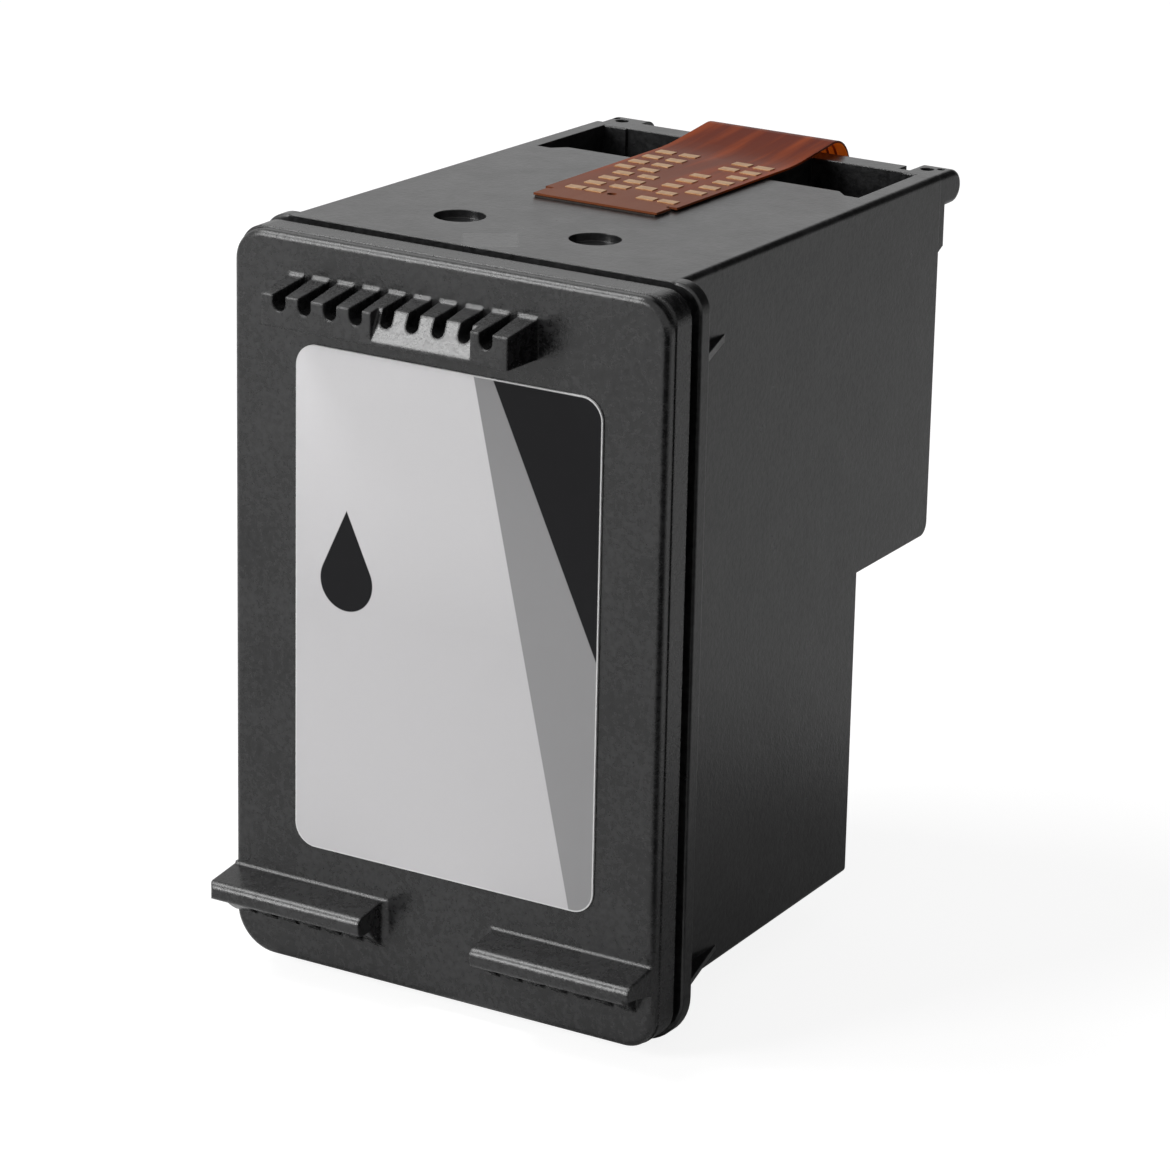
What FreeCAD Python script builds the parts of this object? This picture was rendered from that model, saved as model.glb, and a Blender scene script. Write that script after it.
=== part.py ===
"""Inkjet ink cartridge with an integrated print head, in millimetres.

It stands upright: the lid with its label faces -Y, the contact side faces +Z and the nose with the
nozzle face points to +Y. Inside the model, x = 0 is the middle of the cartridge, y = 0 the lid's front
face and z = 0 the foot of the front rim. Each solid is shifted along Y when it is written, so that the
origin lies below the middle of the whole.
"""
import FreeCAD, Part
import math
import os

V = FreeCAD.Vector

# Lid plate
LID_WIDTH = 33.9
LID_HEIGHT = 52.0
LID_FOOT = 0.95
LID_THICKNESS = 2.8
LID_SKIN = 1.6
LID_TOP_RADIUS = 2.35
LID_REAR_TOP_RADIUS = 1.95
LID_LEFT_FOOT_RADIUS = 3.2
LID_RIGHT_FOOT_RADIUS = 2.2
LID_EDGE_RADIUS = 0.45
PARTING_DEPTH = 0.95
PARTING_STEP = 0.07

# Joint between the lid and the housing
RIM_OUTSET = 0.15
RIM_FOOT_RADIUS = 3.5
RIM_TOP_RADIUS = 1.9
RIM_THICKNESS = 1.1
JOINT_GAP = 0.95
JOINT_DEPTH = 1.25
RIM_EDGE_RADIUS = 0.2

# Grip bar on the lid
BAR_LEFT = -12.4
BAR_LENGTH = 19.5
BAR_DROP = 5.45
BAR_HEIGHT = 2.65
BAR_REACH = 3.4
BAR_TOP_DROP = 0.45
BAR_END_DRAFT = 0.2
TEETH = 10
SLOT_ROOT_WIDTH = 0.65
SLOT_MOUTH_WIDTH = 1.15
SLOT_DEPTH = 1.05
SLOT_SHIFT = -0.13
FACET_LEFT = -3.6
FACET_RIGHT = 4.1
FACET_RECESS = 1.0
FACET_LIFT = 0.27
FACET_OVERRUN = 0.35

# Latch ledges at the foot of the lid
LEDGE_INNER = 4.5
LEDGE_RISE = 6.2
LEDGE_REACH = 3.2
LEDGE_FALL = 0.33
LEDGE_SHELF = 1.0
LEDGE_LIP = 1.4
LEDGE_WEB_DEPTH = 3.4
LEDGE_PITCH = 1.79
LEDGE_GAP = 0.74
LEDGE_RIGHT_END = 0.43
LEDGE_LEFT_END = 1.82
LEDGE_ROOT_RADIUS = 0.18
LEDGE_NOSE_RADIUS = 0.6
LEDGE_INNER_FLARE = 0.5
LEDGE_LEFT_CORNER = 0.4
LEDGE_RIGHT_CORNER = 0.12
LEDGE_END_EDGE = 0.15
END_PLATE_AT_NOSE = 0.7
END_PLATE_AT_ROOT = 1.95
ROOT_RADIUS = 0.3

# Back of the lid
SKIRT_DEPTH = 2.4
SKIRT_WALL = 1.2
SKIRT_CLEARANCE = 0.12
FOAM_RIB_COUNT = 4
FOAM_RIB_WIDTH = 1.0
FOAM_RIB_DEPTH = 3.0
FILL_HOLE_RADIUS = 1.3
FILL_HOLE_DROP = 19.35
VENT_HOLE_RADIUS = 0.5
VENT_HOLE_ABOVE = 7.0
HOLE_OVERRUN = 1.0
BOSS_WALL = 1.0
BOSS_PROUD = 1.0
PLUG_CLEARANCE = 0.03
PLUG_TAPER = 0.1
PLUG_HEAD_RECESS = 0.2

# Label
LABEL_WIDTH = 23.95
LABEL_RADIUS = 1.6
LABEL_THICKNESS = 0.15
LABEL_OFFSET_X = 0.25
LABEL_BELOW_BAR = 1.8
LABEL_ABOVE_LEDGE = 2.75

# Housing
BODY_WIDTH = 30.58
BODY_FOOT = 2.95
LOWER_DEPTH = 31.05
NOSE_DEPTH = 42.0
NOSE_HEIGHT = 26.5
SIDE_DRAFT = 1.24
DECK_DRAFT = 1.0
FOOT_DRAFT = 0.55
WALL = 1.5
BODY_EDGE_RADIUS = 0.45
NOSE_CORNER_RADIUS = 0.9

# Rear pockets beside the centre web
WEB_WIDTH = 8.8
POCKET_FRONT = 33.1
POCKET_REAR = 41.2
POCKET_DEPTH = 12.0
POCKET_NOTCH = 0.95
POCKET_NOTCH_WIDTH = 1.1

# Nozzle land on the rear face, and the corner noses
LAND_HALF_WIDTH = 11.0
LAND_PROUD = 1.15
LAND_ABOVE_NOSE_FOOT = 1.85
EAR_LEFT_INNER = 11.0
EAR_RIGHT_INNER = 11.8
EAR_LEFT_INSET = 0.4
EAR_RIGHT_INSET = 0.03
EAR_BELOW_DECK = 0.03
EAR_FRONT = 41.0
EAR_HEIGHT = 2.4
EAR_REACH = 45.35
EAR_HOLE_RADIUS = 0.5
EAR_HOLE_DEPTH = 0.9
EAR_HOLE_FROM_SIDE = 1.75
EAR_HOLE_Y = 43.2
EAR_PIN_MARK_RADIUS = 0.28
EAR_PIN_MARK_DEPTH = 0.2
EAR_PIN_MARK_X = 0.8
EAR_PIN_MARK_Y = 0.55
PAD_BAND_PROUD = 0.75
PAD_BAND_HEIGHT = 2.8

# Dimples in the top deck and gussets behind the rim
DIMPLE_RADIUS = 1.78
DIMPLE_DEPTH = 0.6
DIMPLE_Y = 10.55
DIMPLE_SPACING = 10.66
UPPER_GUSSET_LENGTH = 5.6
UPPER_GUSSET_THICKNESS = 0.55
UPPER_GUSSET_DROP = 5.5
LOWER_GUSSET_LENGTH = 6.9
LOWER_GUSSET_THICKNESS = 0.4
LOWER_GUSSET_RISE = 1.1

# Flexible circuit
FILM_WIDTH = 10.5
FILM_THICKNESS = 0.15
FILM_FRONT = 18.55
FILM_TAB = 2.15
FILM_TAB_INSET = 0.35
FILM_NOTCH = 0.35
FILM_LIFT_START = 37.2
FILM_LIFT_RISE = 0.11
FILM_LIFT_RADIUS = 24.0
FILM_LOOP_REAR = 45.2
FILM_LOOP_RADIUS = 2.2
FILM_BEND_RADIUS = 2.5
FILM_LANDING_RADIUS = 3.0
FILM_BEND_DROP = 3.1
FILM_LANDING_DROP = 6.3
FILM_ABOVE_LAND_FOOT = 1.2
FILM_HOLE_RADIUS = 0.35
FILM_HOLE_X = -0.4
FILM_HOLE_Y = 21.5
ADHESIVE_THICKNESS = 0.08
ADHESIVE_END_GAP = 1.8
TRACE_THICKNESS = 0.04
TRACE_WIDTH = 0.2
TRACE_COUNT = 14
TRACE_PITCH = 0.66
TRACE_LEAD = 1.7
PAD_WIDTH = 1.35
PAD_LENGTH = 0.8
PAD_THICKNESS = 0.05
PAD_PITCH = 1.9

# Print head
DIE_WIDTH = 3.2
DIE_LENGTH = 13.2
DIE_THICKNESS = 0.65
DIE_ABOVE_LAND_FOOT = 10.2
DIE_CLEARANCE = 0.4
DIE_ADHESIVE = 0.1
DIE_RECESS = 0.6
WINDOW_MARGIN = 0.35
NOZZLE_PLATE_THICKNESS = 0.06
NOZZLE_PLATE_END_GAP = 0.75
NOZZLE_PLATE_SIDE_GAP = 0.1
LEAD_COUNT = 8
LEAD_WIDTH = 0.16
LEAD_THICKNESS = 0.05
LEAD_PITCH = 0.36
LEAD_OVERLAP = 0.5
BEAD_LENGTH = 5.0
BEAD_WIDTH = 2.0
BEAD_PROUD = 0.3

# Ink path and foam
CHANNEL_WIDTH = 1.2
CHANNEL_LENGTH = 10.6
PIPE_FRONT = 36.0
PIPE_HALF_WIDTH = 4.0
RISER_HALF_WIDTH = 2.9
FILTER_THICKNESS = 0.3
FILTER_MARGIN = 0.9
FOAM_CLEARANCE = 0.3
FOAM_FRONT_CLEARANCE = 0.2

# Values worked out from the sizes above
LID_TOP = LID_FOOT + LID_HEIGHT
RIM_TOP = LID_TOP + RIM_OUTSET
RIM_FRONT = LID_THICKNESS + JOINT_GAP
RIM_REAR = RIM_FRONT + RIM_THICKNESS
BAR_FOOT = LID_TOP - BAR_DROP
LEDGE_ROOT_HEIGHT = LID_FOOT + LEDGE_RISE
LABEL_FOOT = LEDGE_ROOT_HEIGHT + LABEL_ABOVE_LEDGE
LABEL_TOP = BAR_FOOT - LABEL_BELOW_BAR
FILL_HOLE_HEIGHT = LID_TOP - FILL_HOLE_DROP
VENT_HOLE_HEIGHT = FILL_HOLE_HEIGHT + VENT_HOLE_ABOVE
DECK_FALL = math.tan(math.radians(DECK_DRAFT))
NOSE_FOOT = RIM_TOP - (NOSE_DEPTH - RIM_REAR) * DECK_FALL - NOSE_HEIGHT
LAND_FOOT = NOSE_FOOT + LAND_ABOVE_NOSE_FOOT
DIE_CENTRE = LAND_FOOT + DIE_ABOVE_LAND_FOOT
FILM_BEND = RIM_TOP - FILM_BEND_DROP
FILM_LANDING = RIM_TOP - FILM_LANDING_DROP
FILM_FOOT = LAND_FOOT + FILM_ABOVE_LAND_FOOT
LAND_Y = NOSE_DEPTH + LAND_PROUD
FILM_BASE = ADHESIVE_THICKNESS + TRACE_THICKNESS
FILM_HALF = FILM_WIDTH / 2
DIE_FACE = LAND_Y - DIE_RECESS + DIE_ADHESIVE + DIE_THICKNESS
WHOLE_REAR = max(FILM_LOOP_REAR + FILM_THICKNESS, EAR_REACH)
WHOLE_FRONT = -max(BAR_REACH, LEDGE_REACH)
CENTRE_Y = (WHOLE_FRONT + WHOLE_REAR) / 2


def side_at(y):
    """Half width of the housing at depth y."""
    return BODY_WIDTH / 2 - y * math.tan(math.radians(SIDE_DRAFT))


def deck_at(y):
    """Height of the top deck at depth y, level with the rim where it leaves it."""
    return RIM_TOP - (y - RIM_REAR) * DECK_FALL


def foot_at(y):
    """Height of the housing's underside at depth y."""
    return BODY_FOOT + y * math.tan(math.radians(FOOT_DRAFT))


def box(x0, x1, y0, y1, z0, z1):
    return Part.makeBox(x1 - x0, y1 - y0, z1 - z0, V(x0, y0, z0))


def wire_of(points):
    """Closed wire. A plain entry is a corner; a pair is an arc through the first point to the second."""
    edges = []
    here = points[0]
    for entry in points[1:] + [points[0]]:
        if isinstance(entry, tuple):
            through, end = entry
            edges.append(Part.Arc(here, through, end).toShape())
        else:
            end = entry
            if here.distanceToPoint(end) > 1e-6:
                edges.append(Part.LineSegment(here, end).toShape())
        here = end
    return Part.Wire(edges)


def prism_x(points, x0, x1):
    """Profile in the YZ plane, extruded from x0 to x1."""
    face = Part.Face(wire_of(points))
    prism = face.extrude(V(x1 - x0, 0, 0))
    prism.translate(V(x0, 0, 0))
    return prism


def prism_z(corners, z0, z1):
    """Polygon of (x, y) corners, extruded from z0 to z1."""
    loop = [V(x, y, z0) for x, y in corners]
    face = Part.Face(Part.makePolygon(loop + [loop[0]]))
    return face.extrude(V(0, 0, z1 - z0))


def plate(half, foot, top, radii, y0, y1, centre_x=0.0):
    """Upright plate from depth y0 to y1. The radii are those of its left foot, right foot and top corners."""
    s = math.sqrt(0.5)
    a, b, c = radii
    left, right = centre_x - half, centre_x + half
    loop = [
        V(left + a, y0, foot),
        V(right - b, y0, foot),
        (V(right - b + b * s, y0, foot + b - b * s), V(right, y0, foot + b)),
        V(right, y0, top - c),
        (V(right - c + c * s, y0, top - c + c * s), V(right - c, y0, top)),
        V(left + c, y0, top),
        (V(left + c - c * s, y0, top - c + c * s), V(left, y0, top - c)),
        V(left, y0, foot + a),
        (V(left + a - a * s, y0, foot + a - a * s), V(left + a, y0, foot)),
    ]
    return Part.Face(wire_of(loop)).extrude(V(0, y1 - y0, 0))


def lid_outline(inset, y0, y1, top_radius=LID_REAR_TOP_RADIUS):
    """Plate of the lid's outline, drawn in by an inset."""
    radii = [r - inset for r in (LID_LEFT_FOOT_RADIUS, LID_RIGHT_FOOT_RADIUS, top_radius)]
    return plate(LID_WIDTH / 2 - inset, LID_FOOT + inset, LID_TOP - inset, radii, y0, y1)


def edges_where(shape, test):
    """Edges whose every vertex passes the test."""
    return [e for e in shape.Edges if all(test(v.Point) for v in e.Vertexes)]


def near(a, b):
    return abs(a - b) < 1e-4


def rounded_path(points, radii, side):
    """Edges of a bent strip's face in the YZ plane, at a distance side to the left of its base line."""
    count = len(points)
    shifted = []
    for i, p in enumerate(points):
        before = (p - points[i - 1]).normalize() if i > 0 else None
        after = (points[i + 1] - p).normalize() if i < count - 1 else None
        before = before or after
        after = after or before
        n0 = V(0, -before.z, before.y)
        n1 = V(0, -after.z, after.y)
        shifted.append(p + (n0 + n1) * (side / (1 + n0.dot(n1))))
    edges = []
    here = shifted[0]
    for i in range(1, count - 1):
        corner = shifted[i]
        before = (corner - shifted[i - 1]).normalize()
        after = (shifted[i + 1] - corner).normalize()
        turn = before.getAngle(after)
        left_turn = before.y * after.z - before.z * after.y > 0
        radius = radii[i - 1] - side if left_turn else radii[i - 1] + side
        cut = radius * math.tan(turn / 2)
        start = corner - before * cut
        end = corner + after * cut
        inward = (after - before).normalize()
        centre = corner + inward * (radius / math.cos(turn / 2))
        edges.append(Part.LineSegment(here, start).toShape())
        edges.append(Part.Arc(start, centre - inward * radius, end).toShape())
        here = end
    edges.append(Part.LineSegment(here, shifted[-1]).toShape())
    return edges, shifted[0], shifted[-1]


def strip(points, radii, low, high, x0, x1):
    """Bent strip between two distances from its base line, from x0 to x1."""
    lower, a0, a1 = rounded_path(points, radii, low)
    upper, b0, b1 = rounded_path(points, radii, high)
    caps = [Part.LineSegment(a1, b1).toShape(), Part.LineSegment(a0, b0).toShape()]
    wire = Part.Wire(Part.__sortEdges__(lower + upper + caps))
    solid = Part.Face(wire).extrude(V(x1 - x0, 0, 0))
    solid.translate(V(x0, 0, 0))
    return solid


# Lid: plate


def lid_plate():
    """Flat plate with a rounded front edge and a fine step where the two halves of the mould met."""
    front = lid_outline(PARTING_STEP, 0, PARTING_DEPTH, LID_TOP_RADIUS)
    front = front.makeFillet(LID_EDGE_RADIUS, edges_where(front, lambda p: near(p.y, 0)))
    rear = lid_outline(0, PARTING_DEPTH, LID_THICKNESS)
    return front.fuse(rear)


def grip_bar():
    """Bar with drafted slots between its teeth and a sloped thumb facet in the middle."""
    top = BAR_FOOT + BAR_HEIGHT
    r = ROOT_RADIUS
    embed = PARTING_DEPTH
    right = BAR_LEFT + BAR_LENGTH
    profile = [
        V(0, embed, BAR_FOOT),
        V(0, -BAR_REACH, BAR_FOOT),
        V(0, -BAR_REACH, top - BAR_TOP_DROP),
        V(0, -r, top),
        (V(0, -r * 0.3, top + r * 0.3), V(0, 0, top + r)),
        V(0, embed, top + r),
    ]
    bar = prism_x(profile, BAR_LEFT, right)
    for x, out in ((BAR_LEFT, -1), (right, 1)):
        wedge = prism_z([(x, 0), (x + out, 0), (x + out, -BAR_REACH - 1), (x - out * BAR_END_DRAFT, -BAR_REACH - 1)],
                        BAR_FOOT - 1, top + 1)
        bar = bar.cut(wedge)
    low = BAR_FOOT + FACET_LIFT
    high = top - BAR_TOP_DROP + FACET_OVERRUN
    facet = [
        V(0, -BAR_REACH - 1, low),
        V(0, -BAR_REACH, low),
        V(0, -BAR_REACH + FACET_RECESS, high),
        V(0, -BAR_REACH - 1, high),
    ]
    bar = bar.cut(prism_x(facet, FACET_LEFT, FACET_RIGHT))
    pitch = (BAR_LENGTH + SLOT_ROOT_WIDTH) / TEETH
    for i in range(1, TEETH):
        bar = bar.cut(bar_slot(BAR_LEFT + i * pitch - SLOT_ROOT_WIDTH / 2 + SLOT_SHIFT))
    return bar


def bar_slot(x):
    """Slot with a round floor, wider at its mouth than at the lid."""
    top = BAR_FOOT + BAR_HEIGHT
    floor = top - BAR_TOP_DROP - SLOT_DEPTH
    high = top + ROOT_RADIUS + 1
    sections = []
    for y, width in ((0, SLOT_ROOT_WIDTH), (-BAR_REACH - 1, SLOT_MOUTH_WIDTH)):
        h = width / 2
        loop = [V(x - h, y, high), V(x - h, y, floor + h), (V(x, y, floor), V(x + h, y, floor + h)), V(x + h, y, high)]
        sections.append(wire_of(loop))
    return Part.makeLoft(sections, True, True)


def ledge_plan(outer, corner):
    """Outline of a ledge seen from above: flared where its inner end meets the lid, rounded at its outer nose."""
    s = math.sqrt(0.5)
    inner = LEDGE_INNER
    f = LEDGE_INNER_FLARE
    c = corner
    y = -LEDGE_REACH
    base = LID_FOOT
    loop = [
        V(inner - f, PARTING_DEPTH, base),
        V(inner - f, 0, base),
        (V(inner - f + f * s, -f + f * s, base), V(inner, -f, base)),
        V(inner, y - 0.2, base),
        V(outer - c, y, base),
        (V(outer - c + c * s, y + c - c * s, base), V(outer, y + c, base)),
        V(outer, PARTING_DEPTH, base),
    ]
    return Part.Face(wire_of(loop)).extrude(V(0, 0, LEDGE_ROOT_HEIGHT))


def latch_ledge(side):
    """Shelf with a hooked nose, carried by a row of rounded ribs. Its outer end is flush with the lid."""
    root = LEDGE_ROOT_HEIGHT
    nose = root - LEDGE_FALL
    lip = nose - LEDGE_LIP
    foot = root - LEDGE_WEB_DEPTH
    embed = PARTING_DEPTH
    r = LEDGE_ROOT_RADIUS
    n = LEDGE_NOSE_RADIUS
    reach = LEDGE_REACH
    lip_rear = -reach * 0.57
    profile = [
        V(0, embed, foot),
        V(0, 0, foot),
        (V(0, -reach * 0.32, foot + LEDGE_WEB_DEPTH * 0.235), V(0, lip_rear, lip)),
        V(0, -reach + n * 0.9, lip),
        (V(0, -reach + n * 0.3, lip + n * 0.2), V(0, -reach + n * 0.1, lip + n * 0.7)),
        V(0, -reach, nose - n),
        (V(0, -reach + n * 0.293, nose - n * 0.293), V(0, -reach + n, nose)),
        V(0, -r, root),
        (V(0, -r * 0.25, root + r * 0.3), V(0, 0, root + r)),
        V(0, embed, root + r),
    ]
    outer = LID_WIDTH / 2 - PARTING_STEP
    corner = LEDGE_RIGHT_CORNER if side > 0 else LEDGE_LEFT_CORNER
    ledge = prism_x(profile, LEDGE_INNER - LEDGE_INNER_FLARE, outer)
    if side > 0:
        shelf_end = edges_where(ledge, lambda p: near(p.x, outer) and -reach < p.y < 0 and p.z > nose - n)
        ledge = ledge.makeFillet(LEDGE_END_EDGE, shelf_end)
    ledge = ledge.common(ledge_plan(outer, corner))
    underside = [
        V(0, lip_rear + 0.12, lip - 2),
        V(0, lip_rear + 0.12, nose - LEDGE_SHELF),
        V(0, 0, root - LEDGE_SHELF),
        V(0, 0, lip - 2),
    ]
    end = LEDGE_RIGHT_END if side > 0 else LEDGE_LEFT_END
    gap_end = outer - end
    while gap_end - LEDGE_GAP > LEDGE_INNER + LEDGE_RIGHT_END / 2:
        ledge = ledge.cut(prism_x(underside, gap_end - LEDGE_GAP, gap_end))
        gap_end -= LEDGE_PITCH
    if side > 0:
        below = [
            V(0, -reach - 1, nose - END_PLATE_AT_NOSE),
            V(0, 0, root - END_PLATE_AT_ROOT),
            V(0, 0, foot - 1),
            V(0, -reach - 1, foot - 1),
        ]
        return ledge.cut(prism_x(below, outer - end, outer + 1))
    return ledge.mirror(V(0, 0, 0), V(1, 0, 0))


# Lid: back


def mouth(clearance, y0, y1, inset=0.0):
    """Prism of the chamber's mouth, drawn in by a clearance and an inset."""
    gap = clearance + inset
    half = side_at(RIM_REAR + SKIRT_DEPTH) - WALL - gap
    foot = foot_at(RIM_REAR + SKIRT_DEPTH) + WALL + gap
    top = deck_at(RIM_REAR + SKIRT_DEPTH) - WALL - gap
    return plate(half, foot, top, (1.0, 1.0, 1.0), y0, y1)


def make_lid():
    body = lid_plate()
    body = body.fuse([grip_bar(), latch_ledge(1), latch_ledge(-1)])
    skirt = mouth(SKIRT_CLEARANCE, LID_THICKNESS, LID_THICKNESS + SKIRT_DEPTH)
    hollow = mouth(SKIRT_CLEARANCE, LID_SKIN, LID_THICKNESS + SKIRT_DEPTH, SKIRT_WALL)
    body = body.fuse(skirt).cut(hollow)
    half = side_at(RIM_REAR + SKIRT_DEPTH) - WALL - SKIRT_CLEARANCE - SKIRT_WALL
    low = foot_at(RIM_REAR + SKIRT_DEPTH) + WALL + SKIRT_CLEARANCE + SKIRT_WALL
    high = deck_at(RIM_REAR + SKIRT_DEPTH) - WALL - SKIRT_CLEARANCE - SKIRT_WALL
    step = 2 * half / (FOAM_RIB_COUNT + 1)
    for i in range(FOAM_RIB_COUNT):
        x = -half + (i + 1) * step
        rib = box(x - FOAM_RIB_WIDTH / 2, x + FOAM_RIB_WIDTH / 2, LID_SKIN, LID_THICKNESS + FOAM_RIB_DEPTH, low, high)
        body = body.fuse(rib)
    inward = V(0, 1, 0)
    boss_length = LID_THICKNESS - LID_SKIN + BOSS_PROUD
    boss = Part.makeCylinder(FILL_HOLE_RADIUS + BOSS_WALL, boss_length, V(0, LID_SKIN, FILL_HOLE_HEIGHT), inward)
    body = body.fuse(boss)
    through = LID_THICKNESS + FOAM_RIB_DEPTH + 2 * HOLE_OVERRUN
    for radius, height in ((FILL_HOLE_RADIUS, FILL_HOLE_HEIGHT), (VENT_HOLE_RADIUS, VENT_HOLE_HEIGHT)):
        body = body.cut(Part.makeCylinder(radius, through, V(0, -HOLE_OVERRUN, height), inward))
    return body.removeSplitter()


def make_fill_plug():
    """Tapered soft plug, just below the lid's face."""
    length = LID_THICKNESS + BOSS_PROUD - PLUG_HEAD_RECESS
    radius = FILL_HOLE_RADIUS - PLUG_CLEARANCE
    return Part.makeCone(radius, radius - PLUG_TAPER, length, V(0, PLUG_HEAD_RECESS, FILL_HOLE_HEIGHT), V(0, 1, 0))


def make_label():
    half = LABEL_WIDTH / 2
    radii = (LABEL_RADIUS, LABEL_RADIUS, LABEL_RADIUS)
    return plate(half, LABEL_FOOT, LABEL_TOP, radii, -LABEL_THICKNESS, 0, LABEL_OFFSET_X)


# Housing


def body_block(inset, y0, rear_upper, rear_lower, low, high):
    """Drafted block of the housing's side profile, drawn in by an inset on its outer sides."""
    profile = [
        V(0, y0, foot_at(y0) + inset),
        V(0, rear_lower, foot_at(rear_lower) + inset),
        V(0, rear_lower, low),
        V(0, rear_upper, low),
        V(0, rear_upper, deck_at(rear_upper) - inset),
        V(0, y0, deck_at(y0) - inset),
    ]
    solid = prism_x(profile, -BODY_WIDTH, BODY_WIDTH)
    plan = [
        (-side_at(y0) + inset, y0),
        (side_at(y0) - inset, y0),
        (side_at(rear_upper) - inset, rear_upper),
        (-side_at(rear_upper) + inset, rear_upper),
    ]
    return solid.common(prism_z(plan, 0, high))


def housing_shell():
    """Outer form of the housing behind the collar, with its edges eased."""
    solid = body_block(0, RIM_FRONT, NOSE_DEPTH, LOWER_DEPTH, NOSE_FOOT, RIM_TOP + 1)
    nose_edge = edges_where(solid, lambda p: near(p.y, NOSE_DEPTH) and near(p.z, NOSE_FOOT))
    solid = solid.makeFillet(NOSE_CORNER_RADIUS, nose_edge)
    long_edges = []
    for e in solid.Edges:
        a, b = e.Vertexes[0].Point, e.Vertexes[-1].Point
        on_deck = near(a.z, deck_at(a.y)) and near(b.z, deck_at(b.y))
        on_foot = near(a.z, foot_at(a.y)) and near(b.z, foot_at(b.y))
        if (on_deck or on_foot) and not near(a.y, b.y):
            long_edges.append(e)
    return solid.makeFillet(BODY_EDGE_RADIUS, long_edges)


def front_rim():
    """Weld flange round the front, and the narrower collar that the lid seats on."""
    radii = (RIM_FOOT_RADIUS, RIM_FOOT_RADIUS, RIM_TOP_RADIUS)
    rim = plate(LID_WIDTH / 2 + RIM_OUTSET, 0, RIM_TOP, radii, RIM_FRONT, RIM_REAR)
    rim = rim.makeFillet(RIM_EDGE_RADIUS, edges_where(rim, lambda p: near(p.y, RIM_FRONT)))
    collar = lid_outline(JOINT_DEPTH, LID_THICKNESS, RIM_FRONT)
    return rim.fuse(collar)


def rim_gusset(side, length, thickness, height):
    """Small triangular web behind the rim."""
    rear = RIM_REAR + length
    x0 = side_at(rear) - 0.2
    corners = [
        (x0, RIM_REAR - 0.2),
        (LID_WIDTH / 2, RIM_REAR - 0.2),
        (side_at(rear), rear),
        (x0, rear),
    ]
    web = prism_z(corners, height, height + thickness)
    if side < 0:
        web = web.mirror(V(0, 0, 0), V(1, 0, 0))
    return web


def nozzle_land():
    """Raised panel across the rear face, from the nose's foot up to the deck."""
    profile = [
        V(0, NOSE_DEPTH - 0.5, LAND_FOOT - LAND_PROUD),
        V(0, NOSE_DEPTH, LAND_FOOT - LAND_PROUD * 0.5),
        V(0, LAND_Y, LAND_FOOT),
        V(0, LAND_Y, deck_at(LAND_Y)),
        V(0, NOSE_DEPTH - 0.5, deck_at(NOSE_DEPTH - 0.5)),
    ]
    return prism_x(profile, -LAND_HALF_WIDTH, LAND_HALF_WIDTH)


def corner_nose(side):
    """Round-nosed datum block on a rear corner, with the thin pad below it."""
    inner, inset = (EAR_RIGHT_INNER, EAR_RIGHT_INSET) if side > 0 else (EAR_LEFT_INNER, EAR_LEFT_INSET)
    x1 = side_at(NOSE_DEPTH) - inset
    r = EAR_HEIGHT / 2
    top = deck_at(EAR_REACH - r) - EAR_BELOW_DECK
    under = top - EAR_HEIGHT
    band = NOSE_DEPTH + PAD_BAND_PROUD
    band_foot = under - PAD_BAND_HEIGHT
    profile = [
        V(0, EAR_FRONT, deck_at(EAR_FRONT) - EAR_BELOW_DECK),
        V(0, EAR_REACH - r, top),
        (V(0, EAR_REACH, top - r), V(0, EAR_REACH - r, under)),
        V(0, band, under),
        V(0, band, band_foot),
        V(0, NOSE_DEPTH, band_foot - PAD_BAND_PROUD / 2),
        V(0, NOSE_DEPTH - 0.5, band_foot - PAD_BAND_PROUD / 2),
        V(0, NOSE_DEPTH - 0.5, under),
        V(0, EAR_FRONT, under),
    ]
    block = prism_x(profile, inner, x1)
    top_edge = edges_where(block, lambda p: near(p.x, x1) and near(p.z, deck_at(p.y) - EAR_BELOW_DECK))
    block = block.makeFillet(BODY_EDGE_RADIUS, top_edge)
    hole_x = x1 + inset - EAR_HOLE_FROM_SIDE
    drill = Part.makeCylinder(EAR_HOLE_RADIUS, EAR_HOLE_DEPTH + 1, V(hole_x, EAR_HOLE_Y, top - EAR_HOLE_DEPTH))
    mark_centre = V(hole_x + EAR_PIN_MARK_X, EAR_HOLE_Y + EAR_PIN_MARK_Y, top - EAR_PIN_MARK_DEPTH)
    mark = Part.makeCylinder(EAR_PIN_MARK_RADIUS, 1, mark_centre)
    block = block.cut(drill).cut(mark)
    if side < 0:
        block = block.mirror(V(0, 0, 0), V(1, 0, 0))
    return block


def rear_pocket(side):
    """Open pocket beside the centre web, with a relief notch in its outer front corner."""
    inner = WEB_WIDTH / 2
    front = POCKET_FRONT
    notch = POCKET_NOTCH
    outer_front = side_at(front) - WALL
    outer_rear = side_at(POCKET_REAR) - WALL
    corners = [
        (inner, POCKET_REAR),
        (inner, front),
        (outer_front - POCKET_NOTCH_WIDTH - notch, front),
        (outer_front - POCKET_NOTCH_WIDTH, front - notch),
        (outer_front, front - notch),
        (outer_rear, POCKET_REAR),
    ]
    floor = deck_at(front) - POCKET_DEPTH
    cut = prism_z(corners, floor, RIM_TOP + 1)
    if side < 0:
        cut = cut.mirror(V(0, 0, 0), V(1, 0, 0))
    return cut


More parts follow.
